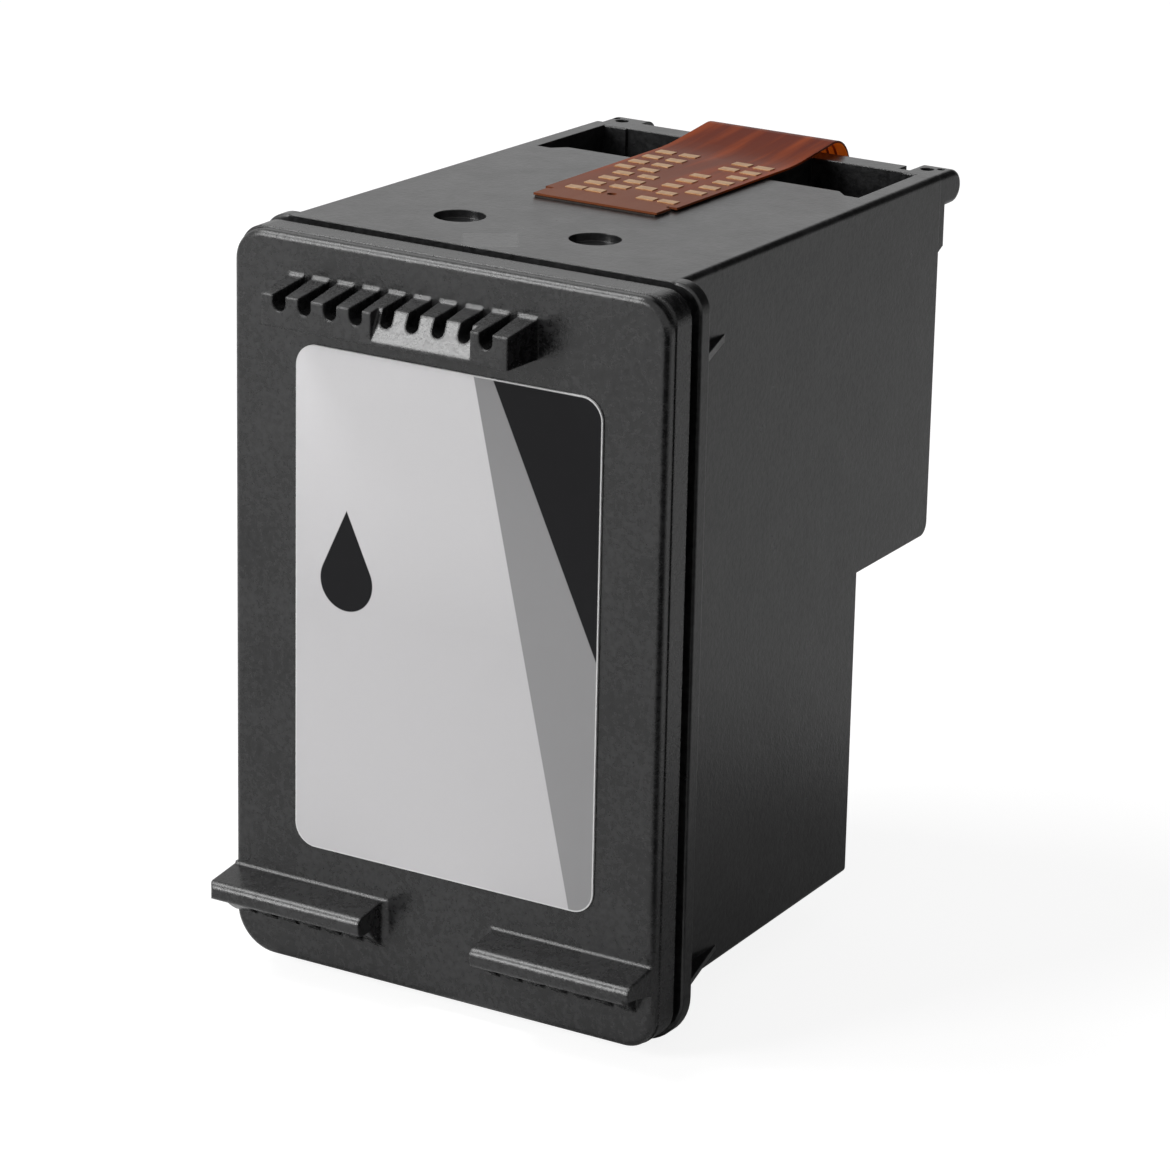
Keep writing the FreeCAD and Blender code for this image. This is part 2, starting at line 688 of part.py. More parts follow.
def ink_chamber():
    """Hollow of the housing: main chamber, the space in the nose below the pockets, and the riser in the web."""
    main_rear = POCKET_FRONT - POCKET_NOTCH - WALL
    main = body_block(WALL, 0, main_rear, LOWER_DEPTH - WALL, NOSE_FOOT + WALL, RIM_TOP)
    pocket_floor = deck_at(POCKET_FRONT) - POCKET_DEPTH
    half = side_at(NOSE_DEPTH - WALL) - WALL
    lower = box(-half, half, main_rear - 1, NOSE_DEPTH - WALL, NOSE_FOOT + WALL, pocket_floor - WALL)
    pipe = box(-PIPE_HALF_WIDTH, PIPE_HALF_WIDTH, PIPE_FRONT, NOSE_DEPTH, NOSE_FOOT, pocket_floor)
    riser_top = DIE_CENTRE + CHANNEL_LENGTH / 2 + FILTER_MARGIN + WALL
    riser = box(-RISER_HALF_WIDTH, RISER_HALF_WIDTH, main_rear - 1, PIPE_FRONT, pocket_floor - WALL - 1, riser_top)
    return main.fuse([lower.cut(pipe), riser])


def ink_channel():
    """Slot from the filter to the chip, and the recess that the chip lies in."""
    half = CHANNEL_LENGTH / 2
    slot = box(-CHANNEL_WIDTH / 2, CHANNEL_WIDTH / 2, PIPE_FRONT - 1, LAND_Y + 1, DIE_CENTRE - half, DIE_CENTRE + half)
    w = DIE_WIDTH / 2 + DIE_CLEARANCE
    length = DIE_LENGTH / 2 + DIE_CLEARANCE
    recess = box(-w, w, LAND_Y - DIE_RECESS, LAND_Y + 1, DIE_CENTRE - length, DIE_CENTRE + length)
    return slot.fuse(recess)


def make_housing():
    solid = housing_shell().fuse([front_rim(), nozzle_land(), corner_nose(1), corner_nose(-1)])
    upper = RIM_TOP - UPPER_GUSSET_DROP
    lower = BODY_FOOT + LOWER_GUSSET_RISE
    for side in (1, -1):
        solid = solid.fuse([
            rim_gusset(side, UPPER_GUSSET_LENGTH, UPPER_GUSSET_THICKNESS, upper),
            rim_gusset(side, LOWER_GUSSET_LENGTH, LOWER_GUSSET_THICKNESS, lower),
        ])
        ear_block = corner_nose(side)
        solid = solid.cut(rear_pocket(side).cut(ear_block))
        x = side * DIMPLE_SPACING / 2 - 0.4
        floor = deck_at(DIMPLE_Y) - DIMPLE_DEPTH
        solid = solid.cut(Part.makeCylinder(DIMPLE_RADIUS, DIMPLE_DEPTH + 1, V(x, DIMPLE_Y, floor)))
    solid = solid.cut(ink_chamber())
    solid = solid.cut(ink_channel())
    return solid.removeSplitter()


# Ink store


def make_foam():
    """Foam block, pressed back into the nose until it touches the filter."""
    gap = FOAM_CLEARANCE
    main_rear = POCKET_FRONT - POCKET_NOTCH - WALL
    pocket_floor = deck_at(POCKET_FRONT) - POCKET_DEPTH
    front = LID_THICKNESS + FOAM_RIB_DEPTH + FOAM_FRONT_CLEARANCE
    rear = PIPE_FRONT - FILTER_THICKNESS
    half = side_at(main_rear) - WALL - gap
    top = deck_at(main_rear) - WALL - gap
    low_rear = LOWER_DEPTH - WALL - gap
    low = box(-half, half, front, low_rear, foot_at(low_rear) + WALL + gap, NOSE_FOOT + WALL + gap)
    high = box(-half, half, front, main_rear - gap, NOSE_FOOT + WALL + gap, top)
    ceiling = pocket_floor - WALL - gap
    nose_half = side_at(NOSE_DEPTH - WALL) - WALL - gap
    nose = box(-nose_half, nose_half, main_rear - 1, rear, NOSE_FOOT + WALL + gap, ceiling)
    riser_top = DIE_CENTRE + CHANNEL_LENGTH / 2 + FILTER_MARGIN + WALL - gap
    riser = box(-RISER_HALF_WIDTH + gap, RISER_HALF_WIDTH - gap, main_rear - 1, rear, ceiling - 1, riser_top)
    return low.fuse([high, nose, riser]).removeSplitter()


def make_filter():
    """Woven steel mesh on the mouth of the stand pipe."""
    w = CHANNEL_WIDTH / 2 + FILTER_MARGIN
    length = CHANNEL_LENGTH / 2 + FILTER_MARGIN
    return box(-w, w, PIPE_FRONT - FILTER_THICKNESS, PIPE_FRONT, DIE_CENTRE - length, DIE_CENTRE + length)


# Flexible circuit


def film_base_line():
    """Corners of the film's inner face in the YZ plane, and the radii that round them."""
    def over_deck(y):
        return V(0, y, deck_at(y) + FILM_BASE)

    lift = over_deck(FILM_LIFT_START)
    loop_top = lift.z + (FILM_LOOP_REAR - FILM_LIFT_START) * FILM_LIFT_RISE
    face = LAND_Y + FILM_BASE
    points = [
        over_deck(FILM_FRONT),
        lift,
        V(0, FILM_LOOP_REAR, loop_top),
        V(0, FILM_LOOP_REAR, FILM_BEND),
        V(0, face, FILM_LANDING),
        V(0, face, FILM_FOOT),
    ]
    return points, [FILM_LIFT_RADIUS, FILM_LOOP_RADIUS, FILM_BEND_RADIUS, FILM_LANDING_RADIUS]


def window_half_length():
    return DIE_LENGTH / 2 + DIE_CLEARANCE + WINDOW_MARGIN


def make_film():
    points, radii = film_base_line()
    film = strip(points, radii, 0, FILM_THICKNESS, -FILM_HALF, FILM_HALF)
    deck = deck_at(FILM_FRONT)
    for side in (-1, 1):
        a, b = sorted((side * (FILM_HALF - FILM_TAB_INSET), side * (FILM_HALF + 1)))
        film = film.cut(box(a, b, FILM_FRONT - 1, FILM_FRONT + FILM_TAB, deck - 2, deck + 2))
        c, d = sorted((side * (FILM_HALF - FILM_TAB_INSET - FILM_NOTCH), side * FILM_HALF))
        film = film.cut(box(c, d, FILM_FRONT + FILM_TAB - FILM_NOTCH, FILM_FRONT + FILM_TAB, deck - 2, deck + 2))
    film = film.cut(Part.makeCylinder(FILM_HOLE_RADIUS, 4, V(FILM_HOLE_X, FILM_HOLE_Y, deck - 2)))
    w = DIE_WIDTH / 2 + DIE_CLEARANCE + WINDOW_MARGIN
    length = window_half_length()
    return film.cut(box(-w, w, LAND_Y - 1, LAND_Y + 1, DIE_CENTRE - length, DIE_CENTRE + length))


def make_film_adhesive():
    """Bonding layer, on the deck under the contacts and round the chip on the land."""
    deck_points = [V(0, y, deck_at(y)) for y in (FILM_FRONT, FILM_LIFT_START - ADHESIVE_END_GAP)]
    inset = FILM_TAB_INSET + 0.1
    deck_layer = strip(deck_points, [], 0, ADHESIVE_THICKNESS, -FILM_HALF + inset, FILM_HALF - inset)
    hole = Part.makeCylinder(FILM_HOLE_RADIUS, 4, V(FILM_HOLE_X, FILM_HOLE_Y, deck_at(FILM_HOLE_Y) - 2))
    w = DIE_WIDTH / 2 + DIE_CLEARANCE + WINDOW_MARGIN
    length = window_half_length()
    land_layer = box(-FILM_HALF, FILM_HALF, LAND_Y, LAND_Y + ADHESIVE_THICKNESS, FILM_FOOT, FILM_LANDING - 1)
    window = box(-w, w, LAND_Y - 1, LAND_Y + 1, DIE_CENTRE - length, DIE_CENTRE + length)
    return Part.makeCompound([deck_layer.cut(hole), land_layer.cut(window)])


def make_traces():
    """Copper conductors on the film's inner face, from the contacts over the loop to the chip's window."""
    points, radii = film_base_line()
    start = points[1] - (points[1] - points[0]).normalize() * TRACE_LEAD
    path = [start] + points[1:-1] + [V(0, points[-1].y, DIE_CENTRE + window_half_length())]
    traces = []
    for i in range(TRACE_COUNT):
        x = (i - (TRACE_COUNT - 1) / 2) * TRACE_PITCH
        traces.append(strip(path, radii, -TRACE_THICKNESS, 0, x - TRACE_WIDTH / 2, x + TRACE_WIDTH / 2))
    return Part.makeCompound(traces)


def make_pads():
    """Contact pads in columns. Each row gives, in pitches, the column's x and first y, then its number of pads."""
    columns = [
        (-2.14, 5.68, 4), (-1.12, 5.68, 4),
        (-1.62, 2.71, 3), (-0.55, 2.71, 3),
        (-1.79, 1.68, 1), (-0.97, 1.68, 1),
        (1.16, 1.74, 1), (2.05, 1.74, 1),
        (0.34, 3.08, 1), (1.32, 2.87, 1),
        (0.87, 4.05, 3), (2.11, 3.60, 6),
        (1.16, 7.66, 2),
    ]
    base = film_base_line()[0]
    along = (base[1] - base[0]).normalize()
    pads = []
    for across, first, count in columns:
        x = across * PAD_PITCH
        for i in range(count):
            centre = base[0] + along * ((first + i) * PAD_PITCH)
            line = [centre - along * (PAD_LENGTH / 2), centre + along * (PAD_LENGTH / 2)]
            top = FILM_THICKNESS + PAD_THICKNESS
            pads.append(strip(line, [], FILM_THICKNESS, top, x - PAD_WIDTH / 2, x + PAD_WIDTH / 2))
    return Part.makeCompound(pads)


# Print head


def make_die():
    y0 = DIE_FACE - DIE_THICKNESS
    half = DIE_LENGTH / 2
    die = box(-DIE_WIDTH / 2, DIE_WIDTH / 2, y0, DIE_FACE, DIE_CENTRE - half, DIE_CENTRE + half)
    slot = CHANNEL_LENGTH / 2
    feed = box(-CHANNEL_WIDTH / 4, CHANNEL_WIDTH / 4, y0 - 1, DIE_FACE - 0.1, DIE_CENTRE - slot, DIE_CENTRE + slot)
    return die.cut(feed)


def make_die_adhesive():
    """Frame of adhesive between the chip and the floor of its recess, open over the ink slot."""
    y0 = LAND_Y - DIE_RECESS
    half = DIE_LENGTH / 2
    frame = box(-DIE_WIDTH / 2, DIE_WIDTH / 2, y0, y0 + DIE_ADHESIVE, DIE_CENTRE - half, DIE_CENTRE + half)
    slot = CHANNEL_LENGTH / 2
    w = CHANNEL_WIDTH / 2
    return frame.cut(box(-w, w, y0 - 1, y0 + 1, DIE_CENTRE - slot, DIE_CENTRE + slot))


def make_nozzle_plate():
    w = DIE_WIDTH / 2 - NOZZLE_PLATE_SIDE_GAP
    half = DIE_LENGTH / 2 - NOZZLE_PLATE_END_GAP
    return box(-w, w, DIE_FACE, DIE_FACE + NOZZLE_PLATE_THICKNESS, DIE_CENTRE - half, DIE_CENTRE + half)


def make_leads():
    """Short copper leads from the edge of the film's window on to each end of the chip."""
    leads = []
    for end in (-1, 1):
        inner = DIE_CENTRE + end * (DIE_LENGTH / 2 - LEAD_OVERLAP)
        outer = DIE_CENTRE + end * window_half_length()
        low, high = sorted((inner, outer))
        for i in range(LEAD_COUNT):
            x = (i - (LEAD_COUNT - 1) / 2) * LEAD_PITCH
            leads.append(box(x - LEAD_WIDTH / 2, x + LEAD_WIDTH / 2, DIE_FACE, DIE_FACE + LEAD_THICKNESS, low, high))
    return Part.makeCompound(leads)


def make_beads(neighbours):
    """Two round-backed resin beads that bury the leads and fill the gap at each end of the chip."""
    beads = []
    for end in (-1, 1):
        z = DIE_CENTRE + end * (DIE_LENGTH / 2 + DIE_CLEARANCE / 2)
        film_face = LAND_Y + FILM_BASE + FILM_THICKNESS
        h = BEAD_WIDTH / 2
        base = LAND_Y - DIE_RECESS
        loop = [V(0, base, z - h), V(0, film_face, z - h), (V(0, film_face + BEAD_PROUD, z), V(0, film_face, z + h)),
                V(0, base, z + h)]
        bead = prism_x(loop, -BEAD_LENGTH / 2, BEAD_LENGTH / 2)
        for other in neighbours:
            bead = bead.cut(other)
        beads.append(max(bead.Solids, key=lambda s: s.Volume))
    return Part.makeCompound(beads)


def write(name, shape):
    """Checks a shape, shifts it to the part's origin and writes its STEP file."""
    if not shape.isValid():
        raise ValueError(name + " is not a valid shape")
    placed = shape.copy()
    placed.translate(V(0, -CENTRE_Y, 0))
    placed.exportStep("parts/" + name + ".step")
    box_now = placed.BoundBox
    print(f"{name:18s} solids {len(placed.Solids):3d}  volume {placed.Volume:9.2f}  "
          f"x {box_now.XMin:7.2f} {box_now.XMax:7.2f}  y {box_now.YMin:7.2f} {box_now.YMax:7.2f}  "
          f"z {box_now.ZMin:6.2f} {box_now.ZMax:6.2f}")


os.makedirs("parts", exist_ok=True)
housing = make_housing()
film = make_film()
die = make_die()
die_adhesive = make_die_adhesive()
nozzle_plate = make_nozzle_plate()
leads = make_leads()
traces = make_traces()
film_adhesive = make_film_adhesive()
beads = make_beads([housing, film, film_adhesive, traces, die, die_adhesive, nozzle_plate, leads])

write("body_housing", housing)
write("lid", make_lid())
write("front_label", make_label())
write("fill_plug", make_fill_plug())
write("ink_foam", make_foam())
write("filter_screen", make_filter())
write("flex_film", film)
write("film_adhesive", film_adhesive)
write("conductor_traces", traces)
write("contact_pads", make_pads())
write("die_adhesive", die_adhesive)
write("printhead_die", die)
write("nozzle_plate", nozzle_plate)
write("bond_leads", leads)
write("encapsulant_beads", beads)
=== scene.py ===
"""Inkjet ink cartridge on a pale floor: finishes, studio light and camera. All lengths are in metres unless a
comment says millimetres. The solids come from the frame; x = 0 is the cartridge's middle and z = 0 its foot."""
import bpy
import math
from mathutils import Matrix, Vector


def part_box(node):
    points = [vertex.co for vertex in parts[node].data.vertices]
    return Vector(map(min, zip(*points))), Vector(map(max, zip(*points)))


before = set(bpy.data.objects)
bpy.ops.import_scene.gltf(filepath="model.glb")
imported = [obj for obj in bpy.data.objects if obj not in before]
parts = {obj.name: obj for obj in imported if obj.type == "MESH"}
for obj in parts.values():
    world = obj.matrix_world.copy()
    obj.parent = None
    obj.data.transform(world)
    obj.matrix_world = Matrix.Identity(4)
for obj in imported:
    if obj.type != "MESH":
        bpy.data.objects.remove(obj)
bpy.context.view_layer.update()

# Housing: the shell that holds the ink, injection-moulded in one shot from carbon-black filled plastic. The steel
# mould was spark eroded, which leaves a fine satin grain. A burnished spot marks the deck in front of the film.


class Signal:
    """A node socket inside a material. Sums and products of signals add the nodes that work them out."""

    def __init__(self, tree, socket):
        self.tree = tree
        self.socket = socket

    def node(self, kind, settings, inputs, output=0):
        """Adds a node of a kind: its settings first, then the values or links of its sockets."""
        new = self.tree.nodes.new(kind)
        for name, value in settings.items():
            setattr(new, name, value)
        for name, value in inputs.items():
            socket = new.inputs[name]
            if isinstance(value, Signal):
                self.tree.links.new(value.socket, socket)
            elif socket.type == "RGBA":
                socket.default_value = (*value, 1.0)
            else:
                socket.default_value = value
        return Signal(self.tree, new.outputs[output])

    def math(self, operation, *others):
        return self.node("ShaderNodeMath", {"operation": operation}, dict(enumerate((self, *others))))

    def __add__(self, other):
        return self.math("ADD", other)

    __radd__ = __add__

    def __sub__(self, other):
        return self.math("SUBTRACT", other)

    def __rsub__(self, other):
        return self.math("MULTIPLY_ADD", -1.0, other)

    def __mul__(self, other):
        return self.math("MULTIPLY", other)

    __rmul__ = __mul__

    def __truediv__(self, other):
        return self.math("DIVIDE", other)

    def __abs__(self):
        return self.math("ABSOLUTE")

    def root(self):
        return self.math("SQRT")

    def sine(self):
        return self.math("SINE")

    def fraction(self):
        return self.math("FRACT")

    def most(self, other):
        return self.math("MAXIMUM", other)

    def above(self, limit, softness):
        """0 below a limit, 1 above it, with a soft step between."""
        ends = {"Value": self, "From Min": limit - softness, "From Max": limit + softness}
        return self.node("ShaderNodeMapRange", {"interpolation_type": "SMOOTHSTEP"}, ends)

    def below(self, limit, softness):
        return 1 - self.above(limit, softness)

    def parts(self):
        """The three numbers of a vector."""
        return [self.node("ShaderNodeSeparateXYZ", {}, {0: self}, output) for output in range(3)]

    def stretched(self, x, y, z):
        """A vector with each of its numbers multiplied."""
        return self.node("ShaderNodeVectorMath", {"operation": "MULTIPLY"}, {0: self, 1: (x, y, z)})

    def grain(self, scale, detail=2.0, roughness=0.5):
        """Cloudy noise from 0 to 1 over this place vector."""
        sockets = {"Vector": self, "Scale": scale, "Detail": detail, "Roughness": roughness}
        return self.node("ShaderNodeTexNoise", {}, sockets)

    def between(self, low, high):
        """Number or colour that goes from low to high as this signal goes from 0 to 1."""
        if isinstance(low, (int, float)):
            return self.node("ShaderNodeMapRange", {}, {"Value": self, "To Min": low, "To Max": high})
        return self.node("ShaderNodeMix", {"data_type": "RGBA"}, {0: self, 6: low, 7: high}, 2)


class Finish:
    """A new surface material. place is the point on the part in millimetres; paint feeds the surface's sockets."""

    def __init__(self, name, **fixed):
        self.material = bpy.data.materials.new(name)
        self.material.use_nodes = True
        self.tree = self.material.node_tree
        self.surface = self.tree.nodes["Principled BSDF"]
        for socket, value in fixed.items():
            self.surface.inputs[socket.replace("_", " ")].default_value = value
        start = self.tree.nodes.new("ShaderNodeTexCoord")
        self.place = Signal(self.tree, start.outputs["Object"]).stretched(1000, 1000, 1000)
        self.facing = Signal(self.tree, start.outputs["Normal"])

    def paint(self, **varying):
        for socket, signal in varying.items():
            self.tree.links.new(signal.socket, self.surface.inputs[socket.replace("_", " ")])

    def emboss(self, height, depth, edge=0.0):
        """Raises the surface by a height signal, to a depth in metres, over edges softened to a radius."""
        sockets = {"Height": height, "Distance": depth, "Strength": 1.0}
        if edge:
            sockets["Normal"] = height.node("ShaderNodeBevel", {"samples": 4}, {"Radius": edge})
        self.paint(Normal=height.node("ShaderNodeBump", {}, sockets))

    def cover(self, *names):
        """Dresses pieces of the frame in this finish."""
        for name in names:
            parts[name].data.materials.clear()
            parts[name].data.materials.append(self.material)


def moulded_black(name, smoothest, dullest, edge):
    """Satin black plastic with spark-eroded grain, soft flow clouds, a few dry scuffs and slightly worn edges."""
    finish = Finish(name, IOR=1.5)
    clouds = finish.place.grain(0.22, 3.0)
    grain = finish.place.grain(2.2, 3.0, 0.65)
    pits = finish.place.grain(6.0, 2.0)
    scuffs = finish.place.stretched(1.0, 0.25, 2.2).grain(0.9, 4.0, 0.7).above(0.68, 0.05)
    dust = clouds.above(0.5, 0.2) * 0.35 + grain.above(0.5, 0.16) * 0.65 + scuffs * 0.4
    finish.paint(Base_Color=dust.between((0.0008, 0.0008, 0.0010), (0.0190, 0.0190, 0.0197)))
    finish.paint(Roughness=clouds.between(smoothest, dullest) + grain.between(-0.03, 0.05) + scuffs * 0.05)
    finish.emboss(grain * 0.65 + pits * 0.35, 0.000027, edge)
    return finish


DECK_MARK = ((-2.9, -14.5), (0.0, -12.2), (2.1, -15.5), (-0.8, -17.8))
housing_finish = moulded_black("housing_plastic", 0.25, 0.33, edge=0.00012)
x, y, z = housing_finish.place.parts()
mark = z.above(52.0, 0.2)
for (ax, ay), (bx, by) in zip(DECK_MARK, DECK_MARK[1:] + DECK_MARK[:1]):
    length = math.hypot(bx - ax, by - ay)
    inward = (x - ax) * ((by - ay) / length) - (y - ay) * ((bx - ax) / length)
    mark = mark * inward.above(0.0, 0.12)
shade = housing_finish.place.grain(0.5, 2.0)
housing_finish.paint(Roughness=shade.between(0.25, 0.34) - mark * 0.05)
housing_finish.cover("body_housing")

# Lid: the front plate, moulded from the same black plastic in a mould of its own and welded on. Its mould was
# polished a little finer than the housing's.

lid_finish = moulded_black("lid_plastic", 0.23, 0.30, edge=0.00024)
lid_finish.cover("lid")

# Label: coated paper, printed in light grey, mid grey and black and cut with a rounded corner. Painted light makes
# the light grey lighter toward the top, and a hair of white paper is left round the print. A plain ink drop marks the
# colour.

low, high = (corner * 1000 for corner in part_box("front_label"))
LABEL_CORNER = 1.6
WHITE_BORDER = 0.09
WEDGE_LEFT = ((2.36, 45.5), (10.34, 10.1))
WEDGE_RIGHT = ((3.99, 45.3), (12.02, 27.95))
DROP_CENTRE = (-7.6, 29.6)
DROP_RADIUS = 2.1
DROP_TIP = 5.0
LIGHT_GREY = (0.505, 0.498, 0.507)
TOP_GREY_PAINTED_LIGHT = (0.650, 0.642, 0.652)
MID_GREY = (0.262, 0.260, 0.264)
PRINT_BLACK = (0.009, 0.009, 0.010)
PAPER_WHITE = (0.60, 0.60, 0.60)
label_finish = Finish("label_paper", IOR=1.48, Specular_IOR_Level=0.1)
x, y, z = label_finish.place.parts()
half_x = (high.x - low.x) / 2
half_z = (high.z - low.z) / 2
across = (abs(x - (high.x + low.x) / 2) - (half_x - LABEL_CORNER)).most(0.0)
along = (abs(z - (high.z + low.z) / 2) - (half_z - LABEL_CORNER)).most(0.0)
to_cut = LABEL_CORNER - (across * across + along * along).root()


def right_of(line):
    """How far a point lies to the right of a line down the label, in millimetres."""
    (top_x, top_z), (foot_x, foot_z) = line
    length = math.hypot(foot_x - top_x, foot_z - top_z)
    return (x - top_x) * ((top_z - foot_z) / length) + (z - top_z) * ((foot_x - top_x) / length)


wedge = right_of(WEDGE_LEFT).above(0.0, 0.04)
triangle = right_of(WEDGE_RIGHT).above(0.0, 0.04)
drop_x = abs(x - DROP_CENTRE[0])
drop_z = z - DROP_CENTRE[1]
sine = DROP_RADIUS / DROP_TIP
slope = sine / math.sqrt(1 - sine * sine)
bowl = (drop_x * drop_x + drop_z * drop_z).root().below(DROP_RADIUS, 0.04)
cone = (drop_x - (DROP_TIP - drop_z) * slope).below(0.0, 0.04) * drop_z.above(DROP_RADIUS * sine, 0.02)
fibres = label_finish.place.stretched(1.0, 1.0, 1.6).grain(4.0, 4.0, 0.6)
# Painted light: the light grey is brightened toward the top of the label.
tint = ((z - 27.0) / 19.0 - fibres * 0.08).between(LIGHT_GREY, TOP_GREY_PAINTED_LIGHT)
tint = wedge.between(tint, MID_GREY)
tint = triangle.most(bowl).most(cone).between(tint, PRINT_BLACK)
tint = to_cut.below(WHITE_BORDER, 0.04).between(tint, PAPER_WHITE)
label_finish.paint(Base_Color=tint, Roughness=fibres.between(0.42, 0.5))
label_finish.emboss(fibres, 0.000003)
label_finish.cover("front_label")

# Flexible circuit: amber polyimide film with copper inside, glued to the deck and looped over the rear edge. The
# loop's inner side has painted light: a brighter orange and an emission glow stand in for light through the film.

film_low, film_high = (corner * 1000 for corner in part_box("flex_film"))
LOOP_LENGTH = 7.5
LOOP_RADIUS = 2.2
FILM_PALE = (0.180, 0.055, 0.023)
FILM_DEEP = (0.118, 0.016, 0.005)
FILM_RED = (0.29, 0.051, 0.008)
FILM_PAINTED_LIGHT_ORANGE = (0.78, 0.17, 0.020)
film_finish = Finish("film_amber", IOR=1.07, Emission_Strength=1.0)
x, y, z = film_finish.place.parts()
nx, ny, nz = film_finish.facing.parts()
into_loop = (film_high.y - LOOP_RADIUS - y) * ny + (film_high.z - LOOP_RADIUS - z) * nz
inner_side = into_loop.above(0.3, 0.3) * y.above(film_high.y - LOOP_LENGTH, 0.4)
streaks = film_finish.place.stretched(1.0, 0.07, 0.07).grain(0.7, 3.0, 0.55)
mottle = film_finish.place.grain(0.5, 3.0)
tone = (y - film_low.y) * (1.15 / (film_high.y - film_low.y)) + streaks * 0.5 - 0.25
colour = tone.between(FILM_PALE, FILM_DEEP)
colour = (streaks.above(0.54, 0.14) * tone.above(0.45, 0.3) * 0.8).between(colour, FILM_RED)
# Painted light: the inner side of the loop gets a brighter orange colour and an emission glow, in place of light
# shining through the film.
film_finish.paint(Base_Color=inner_side.between(colour, FILM_PAINTED_LIGHT_ORANGE))
film_finish.paint(Emission_Color=inner_side.between((0.0, 0.0, 0.0), (0.11, 0.020, 0.0015)))
film_finish.paint(Roughness=mottle.between(0.18, 0.30))
film_finish.emboss(streaks * 0.7 + mottle * 0.3, 0.00004)
film_finish.cover("flex_film")

# Contacts: thirty-one gilded copper pads, etched and plated on the film. The plating is paler where it is worn.

pad_finish = Finish("contact_gold", Metallic=1.0)
wear = pad_finish.place.grain(2.2, 3.0)
pad_finish.paint(Base_Color=wear.above(0.5, 0.25).between((0.46, 0.250, 0.110), (0.59, 0.385, 0.215)))
pad_finish.paint(Roughness=wear.between(0.34, 0.5))
pad_finish.emboss(wear, 0.00001)
pad_finish.cover("contact_pads")

# Nozzle face: an electroformed nickel-gold plate with two rows of fine nozzles, on the silicon chip that heats the
# ink. Beads of black resin seal the chip's ends and cover its short leads.

low, high = (corner * 1000 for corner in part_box("nozzle_plate"))
NOZZLE_ROW = 0.55
NOZZLE_PITCH = 0.17
NOZZLE_HALF = 0.045
NOZZLE_MARGIN = 0.6
plate_finish = Finish("nozzle_metal", Metallic=1.0)
x, y, z = plate_finish.place.parts()
in_row = abs(abs(x) - NOZZLE_ROW).below(NOZZLE_HALF, 0.012)
at_nozzle = (abs((z / NOZZLE_PITCH).fraction() - 0.5) * NOZZLE_PITCH).below(NOZZLE_HALF, 0.012)
within = z.above(low.z + NOZZLE_MARGIN, 0.01) * z.below(high.z - NOZZLE_MARGIN, 0.01)
nozzles = in_row * at_nozzle * within
brushed = plate_finish.place.stretched(6.0, 1.0, 0.3).grain(2.0, 3.0)
metal = brushed.between((0.62, 0.55, 0.40), (0.74, 0.67, 0.50))
plate_finish.paint(Base_Color=nozzles.between(metal, (0.02, 0.02, 0.02)))
plate_finish.paint(Roughness=brushed.between(0.22, 0.36))
plate_finish.emboss(brushed * 0.1 - nozzles, 0.00002)
plate_finish.cover("nozzle_plate")

chip_finish = Finish("silicon", IOR=1.6)
haze = chip_finish.place.grain(1.5, 2.0)
chip_finish.paint(Base_Color=haze.between((0.045, 0.05, 0.062), (0.075, 0.08, 0.10)))
chip_finish.paint(Roughness=haze.between(0.12, 0.2))
chip_finish.cover("printhead_die")

resin_finish = Finish("encapsulant", IOR=1.52)
ripple = resin_finish.place.grain(0.9, 3.0)
resin_finish.paint(Base_Color=ripple.between((0.010, 0.010, 0.013), (0.022, 0.021, 0.026)))
resin_finish.paint(Roughness=ripple.between(0.12, 0.26))
resin_finish.emboss(ripple, 0.00005)
resin_finish.cover("encapsulant_beads")

lead_finish = Finish("lead_copper", Metallic=1.0)
tarnish = lead_finish.place.grain(5.0, 2.0)
lead_finish.paint(Base_Color=tarnish.between((0.60, 0.42, 0.20), (0.78, 0.58, 0.30)))
lead_finish.paint(Roughness=tarnish.between(0.25, 0.4))
lead_finish.cover("bond_leads")

# Layers that hold the film and the chip: dark bonding tape under the film, copper conductors on the film's inner
# side, and a ring of sealing adhesive under the chip. Only their edges can be seen.

tape_finish = Finish("film_adhesive", IOR=1.45)
smear = tape_finish.place.grain(1.2, 3.0)
tape_finish.paint(Base_Color=smear.between((0.012, 0.007, 0.004), (0.028, 0.015, 0.008)))
tape_finish.paint(Roughness=smear.between(0.5, 0.7))
tape_finish.cover("film_adhesive")

copper_finish = Finish("trace_copper", Metallic=1.0)
etch = copper_finish.place.stretched(3.0, 0.4, 0.4).grain(2.0, 2.0)
copper_finish.paint(Base_Color=etch.between((0.55, 0.24, 0.12), (0.75, 0.38, 0.22)))
copper_finish.paint(Roughness=etch.between(0.3, 0.45))
copper_finish.cover("conductor_traces")

seal_finish = Finish("die_adhesive", IOR=1.45)
seal = seal_finish.place.grain(1.8, 3.0)
seal_finish.paint(Base_Color=seal.between((0.03, 0.03, 0.032), (0.055, 0.055, 0.058)))
seal_finish.paint(Roughness=seal.between(0.5, 0.7))
seal_finish.cover("die_adhesive")

# Ink store: a block of open-cell foam soaked with black ink, pressed against a woven steel mesh at the mouth of the
# stand pipe, and the soft plug that closes the filling hole under the label. All of it is closed in.

foam_finish = Finish("foam_black")
cells = foam_finish.place.node("ShaderNodeTexVoronoi", {"feature": "F1"}, {"Vector": foam_finish.place, "Scale": 2.6})
foam_finish.paint(Base_Color=cells.between((0.004, 0.004, 0.005), (0.02, 0.02, 0.022)))
foam_finish.paint(Roughness=cells.between(0.5, 0.95))
foam_finish.emboss(cells, 0.0002)
foam_finish.cover("ink_foam")

